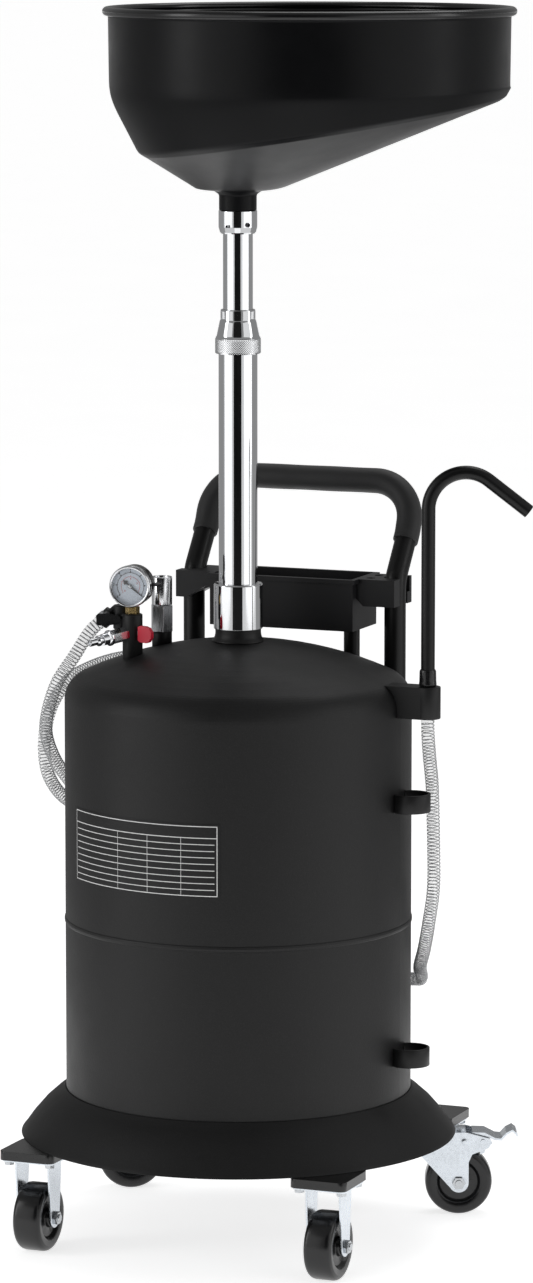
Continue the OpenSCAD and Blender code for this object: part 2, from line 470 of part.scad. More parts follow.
// ---------- wand ----------
module wand_holder() color("#1c1d1f") difference() {
  union() {
    translate([wand_x, 0, 587]) cylinder(r = 14, h = 35);
    translate([168, -13.6, 587]) cube([53, 27.2, 35]);
  }
  rotate_extrude($fn = 128) polygon(concat(dome(-0.05), [[tank_r + 0.05, 500], [0, 500]]));
  translate([wand_x, 0, 500]) cylinder(r = 7.6, h = 200);
}
module hose_rings() color("#1c1d1f") for (z = [484, 204]) difference() {
  translate([201.5, 0, z]) cylinder(r = 22, h = 20);
  translate([201.5, 0, z - 1]) cylinder(r = 19, h = 22);
  translate([0, 0, z - 1]) cylinder(r = tank_r, h = 22, $fn = 128);
}
module wand_collar() color("#141516") translate([wand_x, 0, 622.3])
  rotate_extrude() polygon([[7.5, 0], [9, 0], [9.6, 2], [9.2, 6], [9, 16], [8.4, 18], [7.5, 18.4]]);
module pipe(l) difference() { cylinder(r = 7.5, h = l); translate([0, 0, -1]) cylinder(r = 6, h = l + 2); }
// The bend runs 2 degrees into both straights
module wand_tube() color("#1a1b1d") translate([wand_x, 0, 0]) rotate([0, 0, view_a]) {
  translate([0, 0, 588]) pipe(226);
  translate([40, 0, 814]) rotate([90, 0, 0]) rotate([0, 0, 50]) rotate_extrude(angle = 132) translate([40, 0])
    difference() { circle(7.45); circle(6.05); }
  translate([40 + 40 * cos(52), 0, 814 + 40 * sin(52)]) rotate([0, 128, 0]) pipe(55);
}

tank_upper_shell();
tank_lower_shell();
girth_seam();
base_skirt();
base_cross();
caster_plates();
caster_bolts();
front_forks();
front_axles();
rear_king_pins();
handle_tube();
handle_grip();
handle_saddles();
tool_tray();
mast_base_ring();
mast_sleeve();
mast_outer_tube();
mast_collet();
manifold_post();
hose_valve_body();
hose_barb();
hose_clamp();
gauge_adapter();
gauge_case();
gauge_bezel();
gauge_dial();
gauge_lens();
air_plug();
silencer_base();
silencer_hex();
silencer_body();
air_valve_stem();
dip_tube();
wand_holder();
hose_rings();
hose_hooks();
discharge_hose();
data_plate();
mast_inner_tube();
mast_guide_bush();
lock_nut();
funnel_cup();
funnel_bowl();
cup_set_screw();
gauge_needle();
air_valve_lever();
hose_valve_lever();
rear_fork_right();
rear_fork_left();
rear_axle_right();
rear_axle_left();
brake_pedal_right();
brake_pedal_left();
front_wheel_right();
front_wheel_left();
rear_wheel_right();
rear_wheel_left();
wand_collar();
wand_tube();
tray_support();
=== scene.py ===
import bpy, bmesh, math
import numpy as np
from mathutils import Vector, Matrix


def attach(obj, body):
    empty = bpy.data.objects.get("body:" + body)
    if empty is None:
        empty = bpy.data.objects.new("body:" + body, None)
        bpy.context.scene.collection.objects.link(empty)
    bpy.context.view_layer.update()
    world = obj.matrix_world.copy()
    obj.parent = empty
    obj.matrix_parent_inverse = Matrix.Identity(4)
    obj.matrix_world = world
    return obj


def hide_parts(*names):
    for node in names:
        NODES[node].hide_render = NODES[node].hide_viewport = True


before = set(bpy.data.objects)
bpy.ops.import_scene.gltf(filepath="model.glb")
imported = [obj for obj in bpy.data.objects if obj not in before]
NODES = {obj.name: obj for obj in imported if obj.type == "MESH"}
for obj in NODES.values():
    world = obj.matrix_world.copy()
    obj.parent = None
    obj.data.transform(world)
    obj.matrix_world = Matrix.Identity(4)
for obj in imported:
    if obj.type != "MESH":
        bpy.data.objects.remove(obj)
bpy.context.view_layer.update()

MM = 0.001
VA = math.radians(22)
CV, SV = math.cos(VA), math.sin(VA)
scene = bpy.context.scene


def plan(x, y, z):
    """Point given across/away/up in the turned frame, in mm, to the row frame in metres."""
    return Vector(((x * CV - y * SV) * MM, (x * SV + y * CV) * MM, z * MM))


# ------------------------------------------------------------------ camera
cam_data = bpy.data.cameras.new("cam")
cam = bpy.data.objects.new("cam", cam_data)
scene.collection.objects.link(cam)
cam.location = (2.2666, -5.5275, 1.501)
pitch = math.radians(8.02)
cam.rotation_mode = "QUATERNION"
cam.rotation_quaternion = Vector((-SV * math.cos(pitch), CV * math.cos(pitch), -math.sin(pitch))).to_track_quat("-Z", "Y")
cam_data.sensor_width = 36
cam_data.lens = 154.94
scene.camera = cam
scene.view_settings.view_transform = "Standard"


# ------------------------------------------------------------------ curves and meshes
def catmull(p, k):
    p = [np.array(q, float) for q in p]
    m = len(p) - 1
    out = []
    for i in range(m):
        a = 2 * p[0] - p[1] if i == 0 else p[i - 1]
        d = 2 * p[m] - p[m - 1] if i == m - 1 else p[i + 2]
        b, c = p[i], p[i + 1]
        for j in range(k):
            t = j / k
            out.append(0.5 * ((2 * b) + (c - a) * t + (2 * a - 5 * b + 4 * c - d) * t * t + (3 * b - a - 3 * c + d) * t ** 3))
    out.append(p[m])
    return np.array(out)


def resample(p, step):
    cum = np.r_[0, np.cumsum(np.linalg.norm(np.diff(p, axis=0), axis=1))]
    n = max(2, int(round(cum[-1] / step)))
    q = np.linspace(0, cum[-1], n + 1)
    return np.stack([np.interp(q, cum, p[:, i]) for i in range(3)], 1), cum[-1]


def frames(p):
    """Tangent, normal and binormal at each point, carried without twist."""
    t = np.gradient(p, axis=0)
    t /= np.linalg.norm(t, axis=1)[:, None]
    up = np.array([0, 0, 1.0]) if abs(t[0][2]) < 0.9 else np.array([1.0, 0, 0])
    n = np.zeros_like(p)
    v = np.cross(t[0], up)
    n[0] = v / np.linalg.norm(v)
    for i in range(1, len(p)):
        v = n[i - 1] - n[i - 1].dot(t[i]) * t[i]
        n[i] = v / np.linalg.norm(v)
    return t, n, np.cross(t, n)


def obj_from(name, verts, faces, body, smooth=True):
    me = bpy.data.meshes.new(name)
    me.from_pydata([tuple(v) for v in verts], [], faces)
    me.validate()
    me.update()
    bm = bmesh.new()
    bm.from_mesh(me)
    bmesh.ops.recalc_face_normals(bm, faces=bm.faces)
    bm.to_mesh(me)
    bm.free()
    for f in me.polygons:
        f.use_smooth = smooth
    ob = bpy.data.objects.new(name, me)
    scene.collection.objects.link(ob)
    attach(ob, body)
    return ob


def tube(name, p, r, sides, body, caps=True, closed=False):
    """Round tube along the points p; r is one radius or one for each point."""
    p = np.asarray(p, float)
    t, n, b = frames(p)
    r = np.broadcast_to(np.asarray(r, float), (len(p),))
    a = np.linspace(0, 2 * math.pi, sides, endpoint=False)
    ring = np.cos(a)[None, :, None] * n[:, None, :] + np.sin(a)[None, :, None] * b[:, None, :]
    verts = (p[:, None, :] + r[:, None, None] * ring).reshape(-1, 3)
    faces = []
    m = len(p)
    for i in range(m - 1):
        for k in range(sides):
            k2 = (k + 1) % sides
            faces.append((i * sides + k, i * sides + k2, (i + 1) * sides + k2, (i + 1) * sides + k))
    if caps:
        faces.append(tuple(range(sides - 1, -1, -1)))
        faces.append(tuple((m - 1) * sides + k for k in range(sides)))
    return obj_from(name, verts, faces, body)


def lathe(name, profile, segs, body, mat=Matrix.Identity(4), closed=True, radial=None):
    """Turned solid: profile of (r, z) in mm round local Z, placed by mat. radial(i, j, r, z) may change r."""
    verts, faces = [], []
    m = len(profile)
    for i, (r, z) in enumerate(profile):
        for k in range(segs):
            a = 2 * math.pi * k / segs
            rr = radial(i, k, r, z) if radial else r
            verts.append(mat @ Vector((rr * math.cos(a) * MM, rr * math.sin(a) * MM, z * MM)))
    for i in range(m if closed else m - 1):
        j = (i + 1) % m
        for k in range(segs):
            k2 = (k + 1) % segs
            faces.append((i * segs + k, i * segs + k2, j * segs + k2, j * segs + k))
    return obj_from(name, verts, faces, body)


def bevel(ob, width, angle=32, segments=2):
    """Rounds the sharp edges of a flat-sided piece and shades the rest smooth."""
    w = ob.modifiers.new("weld", "WELD")
    w.merge_threshold = 2e-6
    d = ob.modifiers.new("flat", "DECIMATE")
    d.decimate_type = "DISSOLVE"
    d.angle_limit = math.radians(0.4)
    b = ob.modifiers.new("edge", "BEVEL")
    b.width = width
    b.segments = segments
    b.limit_method = "ANGLE"
    b.angle_limit = math.radians(angle)
    b.harden_normals = True


# ------------------------------------------------------------------ materials
def new_mat(name):
    m = bpy.data.materials.new(name)
    m.use_nodes = True
    nt = m.node_tree
    bs = nt.nodes["Principled BSDF"]
    co = nt.nodes.new("ShaderNodeTexCoord")
    return m, nt, bs, co


def noise(nt, co, scale, detail=2.0, rough=0.5, stretch=None):
    n = nt.nodes.new("ShaderNodeTexNoise")
    n.inputs["Scale"].default_value = scale
    n.inputs["Detail"].default_value = detail
    n.inputs["Roughness"].default_value = rough
    if stretch:
        mp = nt.nodes.new("ShaderNodeMapping")
        mp.inputs["Scale"].default_value = stretch
        nt.links.new(co.outputs["Object"], mp.inputs["Vector"])
        nt.links.new(mp.outputs["Vector"], n.inputs["Vector"])
    else:
        nt.links.new(co.outputs["Object"], n.inputs["Vector"])
    return n


def ramp(nt, src, lo, hi, c0, c1):
    r = nt.nodes.new("ShaderNodeValToRGB")
    r.color_ramp.elements[0].position = lo
    r.color_ramp.elements[1].position = hi
    r.color_ramp.elements[0].color = c0
    r.color_ramp.elements[1].color = c1
    nt.links.new(src, r.inputs["Fac"])
    return r


def grey(v, t=(1, 1, 1)):
    return (v * t[0], v * t[1], v * t[2], 1)


def to_range(nt, src, a, b):
    m = nt.nodes.new("ShaderNodeMapRange")
    m.inputs["From Min"].default_value = 0.3
    m.inputs["From Max"].default_value = 0.7
    m.inputs["To Min"].default_value = a
    m.inputs["To Max"].default_value = b
    nt.links.new(src, m.inputs["Value"])
    return m.outputs["Result"]


def bump(nt, bs, layers):
    """layers: (height output, strength, distance in metres)"""
    last = None
    for h, s, d in layers:
        b = nt.nodes.new("ShaderNodeBump")
        b.inputs["Strength"].default_value = s
        b.inputs["Distance"].default_value = d
        nt.links.new(h, b.inputs["Height"])
        if last:
            nt.links.new(last.outputs["Normal"], b.inputs["Normal"])
        last = b
    nt.links.new(last.outputs["Normal"], bs.inputs["Normal"])


def powder(name, base, pebble, rough=(0.42, 0.55), depth=0.00012, strength=0.55, spec=0.5, tint=(1, 1.0, 1.03)):
    """Powder coat: fine pebble, slight cloud in tone, faint dust."""
    m, nt, bs, co = new_mat(name)
    fine = noise(nt, co, pebble, 2, 0.55)
    cloud = noise(nt, co, 9, 4, 0.6)
    speck = noise(nt, co, pebble * 0.45, 1, 0.4)
    col = ramp(nt, cloud.outputs["Fac"], 0.3, 0.72, grey(base * 0.82, tint), grey(base * 1.2, tint))
    mix = nt.nodes.new("ShaderNodeMixRGB")
    mix.blend_type = "ADD"
    sp = ramp(nt, fine.outputs["Fac"], 0.52, 0.74, (0, 0, 0, 1), grey(base * 0.9, tint))
    mix.inputs["Fac"].default_value = 1.0
    nt.links.new(col.outputs["Color"], mix.inputs["Color1"])
    nt.links.new(sp.outputs["Color"], mix.inputs["Color2"])
    nt.links.new(mix.outputs["Color"], bs.inputs["Base Color"])
    nt.links.new(to_range(nt, cloud.outputs["Fac"], *rough), bs.inputs["Roughness"])
    bs.inputs["Specular IOR Level"].default_value = spec
    bump(nt, bs, [(fine.outputs["Fac"], strength, depth), (speck.outputs["Fac"], strength * 0.5, depth * 1.5)])
    return m


def plastic(name, color, rough, grain=1400, depth=0.00004, strength=0.35, spec=0.5):
    m, nt, bs, co = new_mat(name)
    g = noise(nt, co, grain, 2, 0.5)
    cloud = noise(nt, co, 14, 3, 0.55)
    col = ramp(nt, cloud.outputs["Fac"], 0.3, 0.7, tuple(c * 0.88 for c in color) + (1,), tuple(c * 1.12 for c in color) + (1,))
    nt.links.new(col.outputs["Color"], bs.inputs["Base Color"])
    nt.links.new(to_range(nt, cloud.outputs["Fac"], rough * 0.9, rough * 1.12), bs.inputs["Roughness"])
    bs.inputs["Specular IOR Level"].default_value = spec
    bump(nt, bs, [(g.outputs["Fac"], strength, depth)])
    return m


def metal(name, color, rough, streak=None, scale=300, depth=0.00001, strength=0.15, var=0.06):
    m, nt, bs, co = new_mat(name)
    g = noise(nt, co, scale, 3, 0.6, streak)
    cloud = noise(nt, co, 25, 3, 0.55)
    col = ramp(nt, cloud.outputs["Fac"], 0.3, 0.7, tuple(c * (1 - var) for c in color) + (1,), tuple(min(1, c * (1 + var)) for c in color) + (1,))
    nt.links.new(col.outputs["Color"], bs.inputs["Base Color"])
    bs.inputs["Metallic"].default_value = 1.0
    nt.links.new(to_range(nt, g.outputs["Fac"], rough * 0.75, rough * 1.25), bs.inputs["Roughness"])
    bump(nt, bs, [(g.outputs["Fac"], strength, depth)])
    return m


M_TANK = powder("tank_powder", 0.0062, 780, depth=0.00018, strength=0.7, spec=0.34)
M_SKIRT = powder("skirt_powder", 0.0065, 800, rough=(0.48, 0.6), strength=0.7, spec=0.32)
M_BLACK = powder("black_coat", 0.006, 1300, rough=(0.38, 0.5), depth=0.00006, strength=0.4, spec=0.35)
M_GLOSS = powder("gloss_coat", 0.006, 500, rough=(0.18, 0.28), depth=0.00005, strength=0.25)
M_TUBE = powder("tube_coat", 0.004, 1500, rough=(0.3, 0.38), depth=0.00004, strength=0.3, spec=0.3)
M_BOWL = plastic("bowl_plastic", (0.0026, 0.0027, 0.0032), 0.36, grain=900, depth=0.00012, strength=0.55, spec=0.14)
M_TRAY = plastic("tray_plastic", (0.008, 0.008, 0.009), 0.42, grain=1500, depth=0.00006, strength=0.4, spec=0.36)
M_GLOSSP = plastic("gloss_plastic", (0.005, 0.005, 0.0055), 0.22, grain=900, depth=0.00002, strength=0.2)
M_RED = plastic("red_plastic", (0.62, 0.006, 0.035), 0.32, grain=900, depth=0.00004, strength=0.25)
M_NYLON = plastic("nylon", (0.70, 0.68, 0.62), 0.45)
M_WHEEL = plastic("wheel_black", (0.006, 0.006, 0.0065), 0.24, grain=500, depth=0.00004, strength=0.25)
M_CHROME = metal("chrome", (0.77, 0.78, 0.795), 0.05, scale=60, depth=0.000002, strength=0.03, var=0.02)
M_PLATED = metal("plated", (0.84, 0.85, 0.87), 0.14, scale=700, depth=0.00001, strength=0.12)
M_ZINC = metal("zinc", (0.66, 0.70, 0.745), 0.26, scale=260, depth=0.00002, strength=0.2, var=0.07)
M_STEEL = metal("steel", (0.52, 0.54, 0.56), 0.24, scale=500, depth=0.00002, strength=0.2)
M_NICKEL = metal("nickel", (0.55, 0.56, 0.58), 0.30, streak=(1, 1, 0.08), scale=900, depth=0.00002, strength=0.25)
M_INOX = metal("stainless", (0.74, 0.75, 0.77), 0.13, scale=900, depth=0.000008, strength=0.1)
M_BRASS = metal("brass", (0.58, 0.42, 0.18), 0.25, scale=700, depth=0.00002, strength=0.2, var=0.14)
M_OXIDE = metal("black_oxide", (0.06, 0.06, 0.065), 0.35, scale=700)


def foam(name):
    """Closed-cell foam grip: tiny pores, soft sheen."""
    m, nt, bs, co = new_mat(name)
    v = nt.nodes.new("ShaderNodeTexVoronoi")
    v.inputs["Scale"].default_value = 900
    nt.links.new(co.outputs["Object"], v.inputs["Vector"])
    big = noise(nt, co, 40, 3, 0.6)
    col = ramp(nt, big.outputs["Fac"], 0.3, 0.7, (0.005, 0.005, 0.0055, 1), (0.009, 0.009, 0.0095, 1))
    nt.links.new(col.outputs["Color"], bs.inputs["Base Color"])
    nt.links.new(to_range(nt, big.outputs["Fac"], 0.55, 0.66), bs.inputs["Roughness"])
    bs.inputs["Sheen Weight"].default_value = 0.15
    bump(nt, bs, [(v.outputs["Distance"], 0.35, 0.0001), (big.outputs["Fac"], 0.4, 0.0006)])
    return m


def clear_hose(name):
    m, nt, bs, co = new_mat(name)
    n = noise(nt, co, 90, 3, 0.6)
    col = ramp(nt, n.outputs["Fac"], 0.3, 0.7, (0.86, 0.88, 0.89, 1), (0.96, 0.97, 0.975, 1))
    nt.links.new(col.outputs["Color"], bs.inputs["Base Color"])
    nt.links.new(to_range(nt, n.outputs["Fac"], 0.10, 0.2), bs.inputs["Roughness"])
    bs.inputs["IOR"].default_value = 1.5
    bs.inputs["Alpha"].default_value = 0.26
    bump(nt, bs, [(n.outputs["Fac"], 0.15, 0.0002)])
    return m


def glass(name):
    m, nt, bs, co = new_mat(name)
    n = noise(nt, co, 60, 2, 0.5)
    bs.inputs["Base Color"].default_value = (0.95, 0.97, 1, 1)
    nt.links.new(to_range(nt, n.outputs["Fac"], 0.02, 0.05), bs.inputs["Roughness"])
    bs.inputs["Alpha"].default_value = 0.05
    return m


def paint(name, color, rough=0.5):
    m, nt, bs, co = new_mat(name)
    n = noise(nt, co, 400, 3, 0.6)
    col = ramp(nt, n.outputs["Fac"], 0.3, 0.7, tuple(c * 0.93 for c in color) + (1,), tuple(min(1, c * 1.07) for c in color) + (1,))
    nt.links.new(col.outputs["Color"], bs.inputs["Base Color"])
    nt.links.new(to_range(nt, n.outputs["Fac"], rough * 0.9, rough * 1.1), bs.inputs["Roughness"])
    bump(nt, bs, [(n.outputs["Fac"], 0.1, 0.00001)])
    return m


M_FOAM = foam("foam")
M_PVC = clear_hose("clear_pvc")
M_GLASS = glass("gauge_glass")
M_DIAL = paint("dial_blue", (0.64, 0.70, 0.78), 0.5)
M_INK = paint("dial_ink", (0.012, 0.012, 0.014))
M_REDINK = paint("dial_red", (0.50, 0.10, 0.11))
M_WHITE = paint("plate_white", (0.78, 0.78, 0.78), 0.5)
M_WIRE = metal("wire", (0.13, 0.132, 0.14), 0.3, scale=800)


def give(ob, m):
    if isinstance(ob, str):
        ob = NODES[ob]
    ob.data.materials.clear()
    ob.data.materials.append(m)
    return ob


for names, m in (
    ("tank_upper_shell tank_lower_shell girth_seam", M_TANK), ("base_skirt", M_SKIRT), ("base_cross", M_GLOSS),
    ("handle_saddles hose_rings hose_hooks wand_holder tray_support manifold_post hose_valve_body silencer_base mast_base_ring", M_BLACK),
    ("wand_tube", M_TUBE), ("wand_collar hose_barb hose_valve_lever gauge_case", M_GLOSSP), ("handle_tube", M_TUBE), ("handle_grip", M_FOAM),
    ("tool_tray", M_TRAY), ("funnel_bowl", M_BOWL), ("mast_sleeve mast_outer_tube mast_inner_tube lock_nut funnel_cup", M_CHROME),
    ("mast_collet mast_guide_bush", M_NYLON), ("caster_plates front_forks rear_fork_right rear_fork_left brake_pedal_right brake_pedal_left", M_ZINC),
    ("caster_bolts front_axles rear_axle_right rear_axle_left rear_king_pins", M_STEEL), ("cup_set_screw", M_OXIDE),
    ("hose_clamp air_plug silencer_body air_valve_stem dip_tube", M_PLATED), ("silencer_hex", M_NICKEL), ("gauge_adapter", M_BRASS),
    ("gauge_bezel", M_INOX), ("gauge_dial", M_DIAL), ("gauge_lens", M_GLASS), ("gauge_needle", M_INK), ("air_valve_lever", M_RED),
    ("discharge_hose", M_PVC), ("data_plate", M_TANK),
    ("front_wheel_right front_wheel_left rear_wheel_right rear_wheel_left", M_WHEEL)):
    for n in names.split():
        give(n, m)

# ------------------------------------------------------------------ discharge hose
bu = Vector((-0.74, 0.10, -0.665)).normalized()
valve = Vector((-127.8, 9.6, 699))
start = plan(*(valve + 20 * bu)) / MM
ROUTE = [tuple(start), (-155, -48, 669), (-173, -53, 640), (-192, -54, 612), (-206, -47, 582), (-216, -33, 552),
  (-217, -12, 522), (-213, 14, 495), (-201, 51, 458), (-184, 90, 424), (-165, 128, 392), (-148, 167, 362),
  (-118, 198, 336), (-68, 212, 317), (-10, 214, 310), (48, 213, 322), (90, 211, 356), (110, 211, 408),
  (114, 211, 465), (103, 211, 522), (72, 211, 576), (25, 211, 607), (-30, 211, 614), (-85, 209, 613),
  (-132, 198, 613), (-168, 163, 614), (-193, 115, 615), (-210, 70, 609), (-220, 34, 598), (-228, 8, 572),
  (-232, -2, 536), (-233, 8, 500), (-229, 34, 471), (-219, 74, 447), (-205, 114, 421), (-182, 160, 392),
  (-152, 202, 350), (-108, 227, 308), (-58, 233, 274), (0, 233, 256.6), (52, 231, 252), (102, 219, 252),
  (138, 192, 258), (156, 158, 268), (168, 122, 288), (184, 92, 314), (198, 68, 348), (209, 53, 392),
  (212.5, 43, 445), (214, 36, 488), (216, 28, 512), (218.5, 14, 540), (220.5, 3, 566), (221, 0, 586.8)]
curve = catmull(np.array(ROUTE) * MM, 16)
PITCH = 0.0041
line, hose_len = resample(curve, PITCH / 4)
wave = np.cos(2 * math.pi * np.arange(len(line)) / 4)
hose = tube("hose_skin", line, 0.00745 + 0.00042 * wave, 18, "chassis")
give(hose, M_PVC)
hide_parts("discharge_hose")
# the steel spiral inside the wall
wl, _ = resample(curve, PITCH / 14)
t, n, b = frames(wl)
ang = 2 * math.pi * np.arange(len(wl)) / 14
helix = wl + 0.0068 * (np.cos(ang)[:, None] * n + np.sin(ang)[:, None] * b)
wire = tube("hose_wire", helix[8:-8], 0.00046, 6, "chassis")
give(wire, M_WIRE)

# ------------------------------------------------------------------ funnel bowl: a smooth loft with a rolled bead
OFF, BR, RZ = 77.3, 216.3, 1344.0


def round_rings(rings, dist, steps=4):
    """Rounds each inner corner of a list of rings, dist mm to either side."""
    r = [np.array(q, float) for q in rings]
    out = [r[0]]
    for i in range(1, len(r) - 1):
        a, p, b = r[i - 1], r[i], r[i + 1]
        la, lb = np.linalg.norm((p - a)[:3]), np.linalg.norm((b - p)[:3])
        d = dist[i] if isinstance(dist, (list, tuple)) else dist
        da, db = min(d, la * 0.45), min(d, lb * 0.45)
        s, e = p + (a - p) * da / max(la, 1e-9), p + (b - p) * db / max(lb, 1e-9)
        for k in range(steps + 1):
            t = k / steps
            out.append((1 - t) ** 2 * s + 2 * t * (1 - t) * p + t * t * e)
    out.append(r[-1])
    return out


outer = round_rings([[0, 1122.4, 18.45, 0], [0, 1130, 18.45, 0], [0, 1130.6, 20.4, 0], [0, 1147, 20.45, 0], [0, 1151, 26, 0],
  [-1, 1153.2, 45, 0], [92.3, 1218.6, 194.6, 9.24], [91, 1222.8, 200.8, 8.8], [79.3, 1255, 215.2, 2], [77.3, 1263, 216.1, 0],
  [77.3, 1338.2, 217.0, 0], [77.3, 1339.6, 218.2, 0]], [0, 0.3, 0.3, 2, 2.2, 6, 1.6, 2.4, 8, 8, 0.8, 0.4])
bead = [np.array([OFF, RZ + 4.9 * math.sin(a), 218.3 + 4.9 * math.cos(a), 0])
        for a in np.radians(np.linspace(-80, 215, 27))]
inner = round_rings([[77.3, 1339.8, 212.9, 0], [77.3, 1264, 212.8, 0], [79.3, 1258, 211.6, 2], [91.2, 1227, 198, 8.8],
  [92.3, 1222.6, 192.4, 9.24], [-1, 1157, 44.5, 0], [0, 1154.6, 23, 0], [0, 1150, 15.2, 0], [0, 1146, 14.3, 0],
  [0, 1122.4, 14.3, 0]], [0, 3, 6, 3, 2, 6, 2, 1.5, 1, 0])
rings = outer + bead + inner
SEG = 224
bv, bf = [], []
for c, z, r, tilt in rings:
    ct, st = math.cos(math.radians(tilt)), math.sin(math.radians(tilt))
    for k in range(SEG):
        q = 2 * math.pi * k / SEG
        bv.append(plan(c + r * math.cos(q) * ct, r * math.sin(q), z + r * math.cos(q) * st))
for i in range(len(rings)):
    j = (i + 1) % len(rings)
    for k in range(SEG):
        k2 = (k + 1) % SEG
        bf.append((i * SEG + k, i * SEG + k2, j * SEG + k2, j * SEG + k))
bowl = give(obj_from("bowl_skin", bv, bf, "funnel"), M_BOWL)
bowl.data.materials.append(M_GLOSSP)
n0 = len(outer)
for i, f in enumerate(bowl.data.polygons):
    if n0 - 1 <= i // SEG < n0 + len(bead):
        f.material_index = 1
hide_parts("funnel_bowl")


# ------------------------------------------------------------------ push handle and grip
def unit(v):
    return v / np.linalg.norm(v)


def rounded(pts, rad, n):
    out = []
    for i, p in enumerate(pts):
        if i in (0, len(pts) - 1):
            out.append(p)
            continue
        u, w = unit(pts[i - 1] - p), unit(pts[i + 1] - p)
        half = math.acos(u.dot(w)) / 2
        s = p + u * rad[i] / math.tan(half)
        c = p + unit(u + w) * rad[i] / math.sin(half)
        e1 = unit(s - c)
        for k in range(n + 1):
            q = k / n * (math.pi - 2 * half)
            out.append(c + rad[i] * (e1 * math.cos(q) - u * math.sin(q)))
    return out


def densify(pts, step):
    out = [pts[0]]
    for a, b in zip(pts[:-1], pts[1:]):
        k = max(1, int(np.linalg.norm(b - a) / step))
        out += [a + (b - a) * (j + 1) / k for j in range(k)]
    return np.array(out)


A = np.array
P0, PB, PC, PD = A([121, 164.5, 420.0]), A([121, 164.5, 712.0]), A([121, 203, 762.0]), A([121, 225, 816.0])
mirror = A([-1.0, 1, 1])
bar = rounded([P0, PB, PC, PD, PD * mirror, PC * mirror, PB * mirror, P0 * mirror], [0, 30, 40, 46, 46, 40, 30, 0], 14)
bar = densify(bar, 12) * MM
htube = give(tube("handle_skin", bar, 0.012, 40, "chassis"), M_TUBE)
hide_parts("handle_tube")
GA = PC - unit(PC - PB) * 12
grip = densify(rounded([GA, PC, PD, PD * mirror, PC * mirror, GA * mirror], [0, 40, 46, 46, 40, 0], 16), 6) * MM
gl = np.r_[0, np.cumsum(np.linalg.norm(np.diff(grip, axis=0), axis=1))]
end = np.minimum(gl, gl[-1] - gl)
rng = np.random.default_rng(7)
gr = 0.0141 + 0.00012 * np.sin(gl * 95) * np.clip(end / 0.02, 0, 1)
ends = [0, 0.0005, 0.0013, 0.0025]
gp = [grip[0] + unit(grip[1] - grip[0]) * e for e in ends[:-1]] + [p for p, e in zip(grip, end) if e > 0.0028] + \
     [grip[-1] + unit(grip[-2] - grip[-1]) * e for e in ends[:-1][::-1]]
gr = np.r_[[0.0132, 0.0138, 0.0141], gr[end > 0.0028], [0.0141, 0.0138, 0.0132]]
hgrip = give(tube("grip_foam", np.array(gp), gr, 56, "chassis"), M_FOAM)
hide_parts("handle_grip")

# ------------------------------------------------------------------ knurled lock nut
rows = [(21.25, 975), (24.0, 975), (24.5, 975.4), (24.9, 976)]
knurl = [(24.95, z) for z in np.arange(976.4, 990.9, 0.45)]
tail = [(24.9, 991.2), (24.5, 991.8), (24.2, 992.5), (23.7, 993.4), (23.3, 994.4)]
cone = [(23.3 - 3.3 * t, 994.4 + 15.6 * t) for t in np.linspace(0.1, 1, 8)]
neck = [(19.4, 1011.2), (19.1, 1012), (19, 1013), (19, 1021), (18.9, 1022), (18.4, 1022.8), (17.8, 1023), (16.5, 1023), (16.5, 1006.4),
        (19.3, 1006.4), (19.3, 997.4), (21.25, 996.4)]
nut_rows = rows + knurl + tail + cone + neck
K0, K1 = len(rows), len(rows) + len(knurl)
NK = 64


def knurled(i, k, r, z):
    if not K0 <= i < K1:
        return r
    a = 2 * math.pi * k / 384
    fade = min(1.0, (i - K0 + 1) / 2, (K1 - i) / 2)
    tw = (z - 983.6) / 24.95
    h = max(abs(math.sin(NK / 2 * (a + tw))), 1e-6) * max(abs(math.sin(NK / 2 * (a - tw))), 1e-6)
    return r - 0.55 * fade * (1 - h)


nut = give(lathe("nut_knurled", nut_rows, 384, "nut", radial=knurled), M_CHROME)
sharp = nut.modifiers.new("crisp", "EDGE_SPLIT")
sharp.split_angle = math.radians(38)
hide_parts("lock_nut")

# ------------------------------------------------------------------ turned mast pieces
def turned(name, profile, body, m, node, segs=160, split=34):
    ob = give(lathe(name, profile, segs, body), m)
    e = ob.modifiers.new("crisp", "EDGE_SPLIT")
    e.split_angle = math.radians(split)
    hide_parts(node)
    return ob


turned("mast_ring_turned", [(21.15, 655), (24.7, 655), (25, 655.3), (25, 660.3), (28.2, 660.3), (28.5, 660.6), (28.5, 661.3), (28.2, 661.8),
                            (26.4, 664), (25.8, 665.4), (25.4, 667), (25.1, 668.4), (25, 670), (25, 673.7), (24.7, 674), (21.15, 674)],
       "chassis", M_BLACK, "mast_base_ring")
turned("mast_sleeve_turned", [(21.15, 674), (26.0, 674), (26.3, 674.08), (26.6, 674.3), (26.75, 674.7), (26.75, 675.1), (26.75, 721.8), (26.75, 722.2), (26.62, 722.6),
                              (25.85, 723.7), (25.5, 723.95), (25.2, 724), (21.15, 724)], "chassis", M_CHROME, "mast_sleeve", split=60)
turned("mast_outer_turned", [(19.15, 150), (21.15, 150), (21.15, 995.7), (20.9, 996), (19.4, 996), (19.15, 995.7)], "chassis", M_CHROME, "mast_outer_tube")
turned("mast_inner_turned", [(14.2, 460), (16.2, 460), (16.2, 1120.7), (15.9, 1121), (14.5, 1121), (14.2, 1120.7)], "mast_slider", M_CHROME, "mast_inner_tube")
# the open mouth of the relief silencer, down to its inner floor
sil = Vector((-93, 6))
mouth = lathe("silencer_mouth", [(0.01, 720.5), (9.3, 720.5), (9.3, 722.5), (0.01, 721.4)], 40, "chassis",
              mat=Matrix.Translation(plan(sil[0], sil[1], 0)), closed=False)
give(mouth, M_OXIDE)

